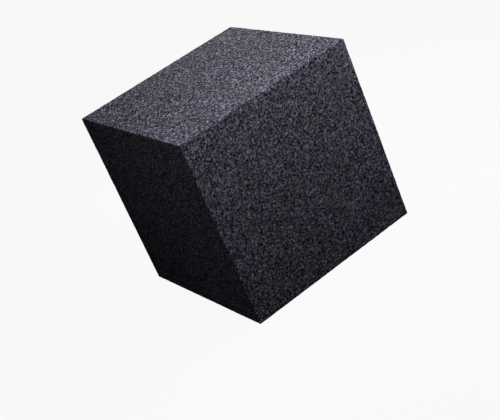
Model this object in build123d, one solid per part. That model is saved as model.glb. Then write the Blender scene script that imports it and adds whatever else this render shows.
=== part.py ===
"""Pressed charcoal cube: one solid block of ground coconut-shell charcoal, as used on a water pipe.

All sizes are in millimetres. The origin is the centre of the face that the cube rests on, and +Z is up.
The block is a single piece: charcoal powder and starch paste are pressed into a bar, which is cut into
cubes and dried, so nothing inside it is separate and nothing moves.
"""

import os

from build123d import *

# Driving dimensions
BLOCK_WIDTH = 26.0  # along X, across the pressed bar
BLOCK_DEPTH = 26.0  # along Y, across the pressed bar
BLOCK_HEIGHT = 26.0  # along Z, from the face it rests on to the face on top
EDGE_RADIUS = 0.1  # edges are crisp: only the outermost grains are rubbed off

PARTS_FOLDER = "parts"


def charcoal_block():
    """The block with its base on Z = 0 and all of its twelve edges rubbed down to the same small radius."""
    block = Box(
        BLOCK_WIDTH,
        BLOCK_DEPTH,
        BLOCK_HEIGHT,
        align=(Align.CENTER, Align.CENTER, Align.MIN),
    )
    block = fillet(block.edges(), radius=EDGE_RADIUS)
    block.label = "charcoal_block"
    return block


def main():
    os.makedirs(PARTS_FOLDER, exist_ok=True)
    part = charcoal_block()
    export_step(part, os.path.join(PARTS_FOLDER, f"{part.label}.step"))
    size = part.bounding_box().size
    print(f"{part.label}: {size.X:.2f} x {size.Y:.2f} x {size.Z:.2f} mm, {part.volume:.0f} mm3")


main()
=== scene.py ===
"""Looks for the pressed charcoal cube: a block of fine pressed grit, on a pale floor in soft studio light.

Lengths are in metres, in the CAD part's own frame. The block's mesh is one closed skin whose relief is
real geometry: pressed grains, the gaps between them, small voids where a grain has dropped out, and rubbed
edges. Grit finer than the mesh is in the material.
"""

import math

import bpy
import numpy as np
from mathutils import Matrix, Vector

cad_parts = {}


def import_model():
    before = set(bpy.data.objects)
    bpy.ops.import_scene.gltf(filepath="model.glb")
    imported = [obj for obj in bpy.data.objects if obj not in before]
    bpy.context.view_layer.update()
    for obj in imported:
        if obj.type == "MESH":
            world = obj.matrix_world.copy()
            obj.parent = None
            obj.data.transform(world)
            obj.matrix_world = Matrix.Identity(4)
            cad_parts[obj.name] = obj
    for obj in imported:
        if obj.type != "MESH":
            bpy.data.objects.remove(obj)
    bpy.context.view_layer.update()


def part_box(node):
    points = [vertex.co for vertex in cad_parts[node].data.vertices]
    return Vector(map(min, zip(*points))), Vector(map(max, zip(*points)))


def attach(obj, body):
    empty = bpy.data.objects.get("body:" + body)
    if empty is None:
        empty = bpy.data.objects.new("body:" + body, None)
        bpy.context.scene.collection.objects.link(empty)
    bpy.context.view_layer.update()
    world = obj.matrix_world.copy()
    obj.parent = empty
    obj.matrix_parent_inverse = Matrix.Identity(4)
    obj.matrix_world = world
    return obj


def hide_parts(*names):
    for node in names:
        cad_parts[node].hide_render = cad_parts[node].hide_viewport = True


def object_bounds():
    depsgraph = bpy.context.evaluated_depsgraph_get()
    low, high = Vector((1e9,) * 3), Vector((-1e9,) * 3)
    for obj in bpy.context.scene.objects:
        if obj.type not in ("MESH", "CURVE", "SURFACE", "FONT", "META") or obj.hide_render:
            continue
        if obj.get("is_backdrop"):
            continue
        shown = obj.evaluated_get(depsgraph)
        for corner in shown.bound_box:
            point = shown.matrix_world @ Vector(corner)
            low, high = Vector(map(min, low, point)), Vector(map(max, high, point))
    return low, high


MM = 0.001

# Block: its size comes from the CAD node, and only the CAD edge radius is repeated here.
CAD_NODE = "charcoal_block"
EDGE_RADIUS = 0.1 * MM
EDGE_ROWS = (0.0, 0.45, 1.0)  # rows of points across the rounded edge, as shares of its radius
SEGMENTS = 129  # along each edge of the block, which gives just under 200,000 triangles
JITTER = 0.36  # how far a point strays from its place in the grid, as a share of the grid's pitch

SEED = 26
VOID_SEED = SEED + 10
RUB_SEED = SEED + 20
WAVE_SEED = SEED + 30

# Relief, as depths below the pressed face
GRAIN_SIZE = 0.46 * MM
GRAIN_STEP = 0.02 * MM  # how much deeper the deepest grain sits than the highest
GRAIN_DOME = 0.015 * MM  # fall from a grain's middle to one grain size away
GAP_DEPTH = 0.02 * MM
GAP_WIDTH = 0.16  # as a share of the grain size
GAP_PAINTED_SHADE = 0.55  # how much painted shade a gap gets, where a void gets 1
WAVE_SIZE = 3.2 * MM
WAVE_DEPTH = 0.01 * MM
VOID_SPACING = 0.9 * MM
VOID_SHARE = 0.35  # share of the places for a void that hold one
VOID_RADIUS = (0.12 * MM, 0.28 * MM)
VOID_BOTTOM = 0.45  # radius of its flat bottom, as a share of its own
VOID_DEPTH = 0.07 * MM
VOID_MARGIN = (0.2 * MM, 0.6 * MM)  # from an edge: no void, and voids of full depth
RUB_REACH = 0.35 * MM  # how far from an edge grains are rubbed off
RUB_DEPTH = 0.008 * MM
RUB_SIZE = 0.6 * MM
RUB_RANGE = (0.45, 0.85)  # of the noise, from not rubbed to rubbed most

# Grit finer than the relief, which the material shows
GRIT_TURN = (0.5, 0.35, 0.8)  # radians, off the block's axes, so that all six faces show the grit alike
SPECK_SIZE = 0.264 * MM
SPECK_DETAIL = 1.0
SPECK_ROUGHNESS = 0.6
SPECK_RANGE = (0.36, 0.64)  # of the noise, from a pit to the lightest speck; a pit's darkness is partly the grit's own tone and partly painted shade
SPECK_SHADES = (0.15, 1.9)
GRIT_SIZE = 0.25 * MM
GRIT_RANGE = (0.15, 0.75)  # from a grain's middle to its rim, in grit sizes
GRIT_SHADES = (1.3, 0.6)  # at a grain's middle and at its rim, which is darker partly by its own tone and partly by painted shade
GRIT_CONTRAST = 2.3  # the lightest grain's shade over the darkest one's
GRIT_TILT = 0.25  # spread of the random lean that is added to a grain's unit normal
TOP_PAINTED_CONTRAST = 0.45  # painted shade and light of the grit: on the top and the bottom, shades are raised to the power of 1 and this
TOP_RANGE = (0.3, 0.9)  # of the upright part of the normal, from a side to the top or the bottom
PAINTED_HOLLOW_SHADE = 0.85  # painted shade: the colour's share in a void, beside 1 on a grain
BUMP_DEPTH = 0.06 * MM
BUMP_STRENGTH = 0.5

# Faint changes of shade and tint over several grains
PATCH_SIZE = 3.5 * MM
PATCH_DETAIL = 2.0
PATCH_ROUGHNESS = 0.5
PATCH_RANGE = (0.3, 0.7)  # of the noise, from the darkest patch to the lightest
PATCH_SHADES = (0.97, 1.03)
TINT_RANGE = (0.35, 0.65)  # of the noise, from grey to violet
GREY_CHARCOAL = (0.059, 0.0568, 0.0713, 1)
VIOLET_CHARCOAL = (0.059, 0.0559, 0.0795, 1)

SPECULAR = 0.015
ROUGHNESS = (0.7, 0.95)  # of the smoothest and the roughest grain
MEAN = 0.5  # of a grain's random numbers

# Studio: distances and sizes are in widths of the block, angles in degrees, and the lens and sensor in mm.
BACKDROP = (0.933, 0.933, 0.933, 1)  # and the floor's own glow
FLOOR_MATT = (0.02, 0.02, 0.02, 1)  # takes a little of the lamps' light, for a very faint shadow
FLOOR_REACH = 200
CAMERA_LENS = 85.0
CAMERA_SENSOR = 36.0
CAMERA_CLIP = (0.1, 1000)
CAMERA_AZIMUTH = -25.47
CAMERA_ELEVATION = 25.40
CAMERA_ROLL = -23.59
CAMERA_DISTANCE = 6.008
CAMERA_AIM = (-0.0985, -0.0571, -0.195)  # from the block's middle

# A lamp's name, the azimuth and elevation of its place, its distance, its size and its power in watts
LAMPS = (
    ("key", -5, 58, 2.2, 1.4, 0.027),
    ("right", 60, 32, 2.2, 1.4, 0.025),
    ("rear", 145, 30, 2.2, 1.4, 0.028),
    ("left", -75, 20, 2.2, 1.4, 0.0035),
)


# ---------------------------------------------------------------- noise

# Odd numbers with well mixed bits, which turn neighbouring cells into unrelated random numbers
X_MIX = 73856093
Y_MIX = 19349663
Z_MIX = 83492791
SEED_MIX = 2654435761
STEP_MIX = 0x9E3779B9
BIT_MIX = 0x45D9F3B
ALL_BITS = 0xFFFFFFFF  # of a 32-bit number


def hashed(cells, seed):
    """Three random numbers from 0 to 1 for each whole-numbered cell, always the same for the same cell."""
    x, y, z = cells.astype(np.int64).T
    h = (x * X_MIX) ^ (y * Y_MIX) ^ (z * Z_MIX) ^ (seed * SEED_MIX)
    values = []
    for step in range(3):
        h = (h + step * STEP_MIX) & ALL_BITS
        h = ((h ^ (h >> 16)) * BIT_MIX) & ALL_BITS
        h = ((h ^ (h >> 16)) * BIT_MIX) & ALL_BITS
        h = h ^ (h >> 16)
        values.append(h / ALL_BITS)
    return np.stack(values, -1)


def nearest_seeds(points, size, seed):
    """Distances to the nearest and the second nearest seed, and the nearest seed's random numbers.

    Each cell of that size holds one seed at a random place, and the distances are in cells.
    """
    places = points / size
    home = np.floor(places).astype(np.int64)
    first = np.full(len(points), np.inf)
    second = np.full(len(points), np.inf)
    numbers = np.zeros((len(points), 3))
    for offset in np.ndindex(3, 3, 3):
        cell = home + np.array(offset) - 1
        away = np.linalg.norm(cell + hashed(cell, seed) - places, axis=1)
        nearer = away < first
        second = np.where(nearer, first, np.minimum(second, away))
        numbers = np.where(nearer[:, None], hashed(cell, seed + 1), numbers)
        first = np.where(nearer, away, first)
    return first, second, numbers


def waves(points, size, seed):
    """Smooth noise from 0 to 1 with features of that size."""
    places = points / size
    home = np.floor(places).astype(np.int64)
    part = places - home
    part = part * part * (3 - 2 * part)
    total = np.zeros(len(points))
    for corner in np.ndindex(2, 2, 2):
        corner = np.array(corner)
        share = np.prod(np.where(corner == 1, part, 1 - part), axis=1)
        total += share * hashed(home + corner, seed)[:, 0]
    return total


def ramp(value, start, end):
    """0 before start, 1 after end, and smooth between them."""
    t = np.clip((value - start) / (end - start), 0, 1)
    return t * t * (3 - 2 * t)


# ---------------------------------------------------------------- block


def stations(side):
    """Places of the grid lines along one side, between its sharp edges, and close together at each end."""
    near = np.array(EDGE_ROWS) * EDGE_RADIUS
    middle = np.linspace(near[-1], side - near[-1], SEGMENTS + 3 - 2 * len(near))
    return np.concatenate([near[:-1], middle, side - near[:-1][::-1]]) - side / 2


def box_grid(size):
    """A closed box of that size centred on the origin: its points, four-sided faces and the points' places.

    A place is the number of the grid line along X, Y and Z. Sides share the points on their edges.
    """
    lines = [stations(side) for side in size]
    count = SEGMENTS + 1
    on_skin = np.zeros((count, count, count), bool)
    for axis in range(3):
        for end in (0, SEGMENTS):
            on_skin[(slice(None),) * axis + (end,)] = True
    places = np.argwhere(on_skin)
    points = np.stack([lines[axis][places[:, axis]] for axis in range(3)], 1)
    index = -np.ones((count, count, count), np.int64)
    index[on_skin] = np.arange(len(places))
    faces = []
    for axis in range(3):
        for end in (0, SEGMENTS):
            side = np.take(index, end, axis=axis)
            corners = [side[:-1, :-1], side[1:, :-1], side[1:, 1:], side[:-1, 1:]]
            quads = np.stack(corners, -1).reshape(-1, 4)
            outward = (end > 0) != (axis == 1)  # across Y, the order X then Z turns the other way round
            faces.append(quads if outward else quads[:, ::-1])
    return points, np.concatenate(faces), places


def scattered(points, places, size, rng):
    """The grid's points moved at random within their own face, or along their own edge."""
    pitch = size / SEGMENTS
    moved = rng.uniform(-JITTER, JITTER, points.shape) * pitch
    at_rim = (places <= len(EDGE_ROWS) - 1) | (places >= SEGMENTS - len(EDGE_ROWS) + 1)
    return points + np.where(at_rim, 0.0, moved)


def rounded(points, size):
    """Points of the sharp box moved onto the box with rounded edges, and their outward directions."""
    core = size / 2 - EDGE_RADIUS
    inner = np.clip(points, -core, core)
    away = points - inner
    normals = away / np.linalg.norm(away, axis=1, keepdims=True)
    return inner + normals * EDGE_RADIUS, normals


def relief(points, size):
    """How deep each point lies below the pressed faces, and how much painted shade it gets in a gap or a
    void, from 0 to 1.
    """
    first, second, numbers = nearest_seeds(points, GRAIN_SIZE, SEED)
    gap = 1 - ramp(second - first, 0, GAP_WIDTH)
    grains = GRAIN_STEP * numbers[:, 0] ** 2 + GRAIN_DOME * np.minimum(first, 1) ** 2 + GAP_DEPTH * gap

    to_void, _, kind = nearest_seeds(points, VOID_SPACING, VOID_SEED)
    smallest, largest = VOID_RADIUS
    radius = (smallest + (largest - smallest) * kind[:, 1]) / VOID_SPACING
    void = (1 - ramp(to_void, radius * VOID_BOTTOM, radius)) * (kind[:, 0] < VOID_SHARE)

    # The nearest face is the point's own, and the next nearest lies past the nearest edge.
    from_edge = np.sort(size / 2 - np.abs(points), axis=1)[:, 1]
    void = void * ramp(from_edge, *VOID_MARGIN)
    rub = (1 - ramp(from_edge, 0, RUB_REACH)) * ramp(waves(points, RUB_SIZE, RUB_SEED), *RUB_RANGE)

    wave = WAVE_DEPTH * waves(points, WAVE_SIZE, WAVE_SEED)
    depth = grains + wave + VOID_DEPTH * void + RUB_DEPTH * rub
    # painted shade for the gaps and voids, which the material darkens by this amount
    return depth, np.clip(GAP_PAINTED_SHADE * gap + void, 0, 1)


def block_mesh(low, high):
    """The block's skin, with each point's painted shade for its gap or void in an attribute that the
    material reads.
    """
    size = np.array(high - low)
    middle = np.array(high + low) / 2
    sharp, faces, places = box_grid(size)
    sharp = scattered(sharp, places, size, np.random.default_rng(SEED))
    points, normals = rounded(sharp, size)
    depth, painted_hollow_shade = relief(points, size)
    points = points - normals * (depth - depth.min())[:, None] + middle

    mesh = bpy.data.meshes.new(CAD_NODE + "_skin")
    mesh.vertices.add(len(points))
    mesh.vertices.foreach_set("co", points.astype(np.float32).ravel())
    mesh.loops.add(faces.size)
    mesh.loops.foreach_set("vertex_index", faces.astype(np.int32).ravel())
    mesh.polygons.add(len(faces))
    mesh.polygons.foreach_set("loop_start", np.arange(0, faces.size, 4, dtype=np.int32))
    mesh.polygons.foreach_set("use_smooth", np.ones(len(faces), bool))
    mesh.update(calc_edges=True)
    painted_hollow_shades = mesh.attributes.new("painted_hollow_shade", "FLOAT", "POINT")
    painted_hollow_shades.data.foreach_set("value", painted_hollow_shade.astype(np.float32))
    return mesh


# ---------------------------------------------------------------- node trees


def live(sockets, name):
    """The socket of that name that the node's settings leave in use, because some nodes have several."""
    return next(s for s in sockets if s.name == name and s.enabled)


class Nodes:
    """Short calls for building the node tree of a material or a world."""

    def __init__(self, owner):
        owner.use_nodes = True
        self.tree = owner.node_tree
        self.tree.nodes.clear()

    def add(self, kind, inputs=None, **settings):
        """A new node. Each input goes by name or number, and is set to a value or linked to a socket."""
        node = self.tree.nodes.new("ShaderNode" + kind)
        for name, value in settings.items():
            setattr(node, name, value)
        for name, value in (inputs or {}).items():
            socket = live(node.inputs, name) if isinstance(name, str) else node.inputs[name]
            if isinstance(value, bpy.types.NodeSocket):
                self.tree.links.new(value, socket)
            else:
                socket.default_value = value
        return node

    def maths(self, operation, *values):
        return self.add("Math", dict(enumerate(values)), operation=operation).outputs[0]

    def vector(self, operation, *vectors):
        return self.add("VectorMath", dict(enumerate(vectors)), operation=operation).outputs[0]

    def scaled(self, vector, by):
        return self.add("VectorMath", {0: vector, "Scale": by}, operation="SCALE").outputs[0]

    def remap(self, value, old, new):
        old = {"From Min": old[0], "From Max": old[1]}
        new = {"To Min": new[0], "To Max": new[1]}
        return self.add("MapRange", {"Value": value, **old, **new}, clamp=True).outputs["Result"]

    def noise(self, place, size, detail, roughness):
        inputs = {"Vector": place, "Scale": 1 / size, "Detail": detail, "Roughness": roughness}
        return self.add("TexNoise", inputs).outputs["Fac"]


# ---------------------------------------------------------------- material


def grit_shade(n, specks, patches, distance, own, normal):
    """Light grains with dark pits between them, at two sizes, the pits dark partly in tone and partly by
    painted shade. Each coarser grain has a shade of its own. Gaps and voids get painted shade, and the top
    and the bottom a painted contrast.
    """
    shade = n.remap(specks, SPECK_RANGE, SPECK_SHADES)
    shade = n.maths("MULTIPLY", shade, n.maths("POWER", GRIT_CONTRAST, n.maths("SUBTRACT", own, MEAN)))
    shade = n.maths("MULTIPLY", shade, n.remap(distance, GRIT_RANGE, GRIT_SHADES))
    # Painted shade: the gaps and voids are darkened in colour.
    painted_hollow_shade = n.add("Attribute", attribute_name="painted_hollow_shade").outputs["Fac"]
    shade = n.maths("MULTIPLY", shade, n.remap(painted_hollow_shade, (0.0, 1.0), (1.0, PAINTED_HOLLOW_SHADE)))
    shade = n.maths("MULTIPLY", shade, n.remap(patches, PATCH_RANGE, PATCH_SHADES))
    # Painted shade and light: the grit's contrast is raised on the top and the bottom.
    upright = n.add("SeparateXYZ", {0: normal}).outputs["Z"]
    power = n.remap(n.maths("ABSOLUTE", upright), TOP_RANGE, (1.0, 1.0 + TOP_PAINTED_CONTRAST))
    return n.maths("POWER", shade, power)


def grit_normal(n, specks, distance, own):
    """The grit's relief, in which each grain's face leans its own way and catches the light by itself."""
    height = n.maths("SUBTRACT", specks, distance)
    bump = n.add("Bump", {"Height": height, "Strength": BUMP_STRENGTH, "Distance": BUMP_DEPTH})
    lean = n.scaled(n.vector("SUBTRACT", own, (MEAN, MEAN, MEAN)), GRIT_TILT)
    return n.vector("NORMALIZE", n.vector("ADD", bump.outputs["Normal"], lean))


def charcoal_material():
    material = bpy.data.materials.new("charcoal")
    n = Nodes(material)
    coordinates = n.add("TexCoord").outputs
    turned = {"Vector": coordinates["Object"], "Rotation": GRIT_TURN}
    place = n.add("VectorRotate", turned, rotation_type="EULER_XYZ").outputs[0]

    specks = n.noise(place, SPECK_SIZE, SPECK_DETAIL, SPECK_ROUGHNESS)
    patches = n.noise(place, PATCH_SIZE, PATCH_DETAIL, PATCH_ROUGHNESS)
    # A grain's colour is three random numbers, which are the same all over it.
    grains = n.add("TexVoronoi", {"Vector": place, "Scale": 1 / GRIT_SIZE}).outputs
    own = n.add("SeparateColor", {"Color": grains["Color"]}).outputs

    shade = grit_shade(n, specks, patches, grains["Distance"], own[0], coordinates["Normal"])
    hue = n.remap(patches, TINT_RANGE, (0.0, 1.0))
    tint = n.add("Mix", {"Factor": hue, "A": GREY_CHARCOAL, "B": VIOLET_CHARCOAL}, data_type="RGBA")
    surface = {
        "Base Color": n.scaled(live(tint.outputs, "Result"), shade),
        "Normal": grit_normal(n, specks, grains["Distance"], grains["Color"]),
        "Roughness": n.remap(own[1], (0.0, 1.0), ROUGHNESS),
        "Specular IOR Level": SPECULAR,
    }
    n.add("OutputMaterial", {"Surface": n.add("BsdfPrincipled", surface).outputs[0]})
    return material


# ---------------------------------------------------------------- studio


def direction(azimuth, elevation):
    """From the block towards that place. Azimuth 0 is in front, on the -Y side, and 90 on the +X side."""
    a, e = math.radians(azimuth), math.radians(elevation)
    return Vector((math.sin(a) * math.cos(e), -math.cos(a) * math.cos(e), math.sin(e)))


def camera(middle, width):
    near, far = CAMERA_CLIP
    data = bpy.data.cameras.new("camera")
    data.lens = CAMERA_LENS
    data.sensor_width = CAMERA_SENSOR
    data.clip_start = near * width
    data.clip_end = far * width
    back = direction(CAMERA_AZIMUTH, CAMERA_ELEVATION)
    place = middle + Vector(CAMERA_AIM) * width + back * CAMERA_DISTANCE * width
    roll = Matrix.Rotation(math.radians(CAMERA_ROLL), 3, "Z")
    turn = (-back).to_track_quat("-Z", "Y").to_matrix() @ roll
    view = bpy.data.objects.new("camera", data)
    view.matrix_world = Matrix.Translation(place) @ turn.to_4x4()
    bpy.context.scene.collection.objects.link(view)
    bpy.context.scene.camera = view


def lamps(middle, width):
    for name, azimuth, elevation, distance, size, power in LAMPS:
        data = bpy.data.lights.new(name, "AREA")
        data.shape = "DISK"
        data.size = size * width
        data.energy = power
        towards = direction(azimuth, elevation)
        lamp = bpy.data.objects.new(name, data)
        lamp.location = middle + towards * distance * width
        lamp.rotation_euler = towards.to_track_quat("Z", "Y").to_euler()
        lamp.visible_camera = False
        bpy.context.scene.collection.objects.link(lamp)


def floor(height, width):
    """A pale floor that throws no light back on the block."""
    material = bpy.data.materials.new("floor")
    n = Nodes(material)
    glow = n.add("Emission", {"Color": BACKDROP, "Strength": 1.0})
    matt = n.add("BsdfDiffuse", {"Color": FLOOR_MATT})
    both = n.add("AddShader", {0: glow.outputs[0], 1: matt.outputs[0]})
    n.add("OutputMaterial", {"Surface": both.outputs[0]})

    reach = FLOOR_REACH * width
    rim = ((-reach, -reach), (reach, -reach), (reach, reach), (-reach, reach))
    mesh = bpy.data.meshes.new("floor")
    mesh.from_pydata([(x, y, height) for x, y in rim], [], [(0, 1, 2, 3)])
    mesh.materials.append(material)
    plane = bpy.data.objects.new("floor", mesh)
    plane.visible_diffuse = False
    plane.visible_glossy = False
    bpy.context.scene.collection.objects.link(plane)
    plane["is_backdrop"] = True


def surroundings():
    """A pale backdrop for the camera, which lights nothing."""
    world = bpy.data.worlds.new("surroundings")
    n = Nodes(world)
    pale = n.add("Background", {"Color": BACKDROP})
    dark = n.add("Background", {"Color": (0, 0, 0, 1)})
    seen = n.add("LightPath").outputs["Is Camera Ray"]
    mix = n.add("MixShader", {0: seen, 1: dark.outputs[0], 2: pale.outputs[0]})
    n.add("OutputWorld", {"Surface": mix.outputs[0]})
    bpy.context.scene.world = world


# ---------------------------------------------------------------- scene


def main():
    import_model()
    low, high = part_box(CAD_NODE)
    middle, width = (low + high) / 2, high.x - low.x

    skin = bpy.data.objects.new("charcoal_skin", block_mesh(low, high))
    skin.data.materials.append(charcoal_material())
    bpy.context.scene.collection.objects.link(skin)
    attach(skin, "root")
    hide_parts(CAD_NODE)

    camera(middle, width)
    lamps(middle, width)
    floor(low.z, width)
    surroundings()
    bpy.context.scene.view_settings.view_transform = "Standard"

    low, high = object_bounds()


main()
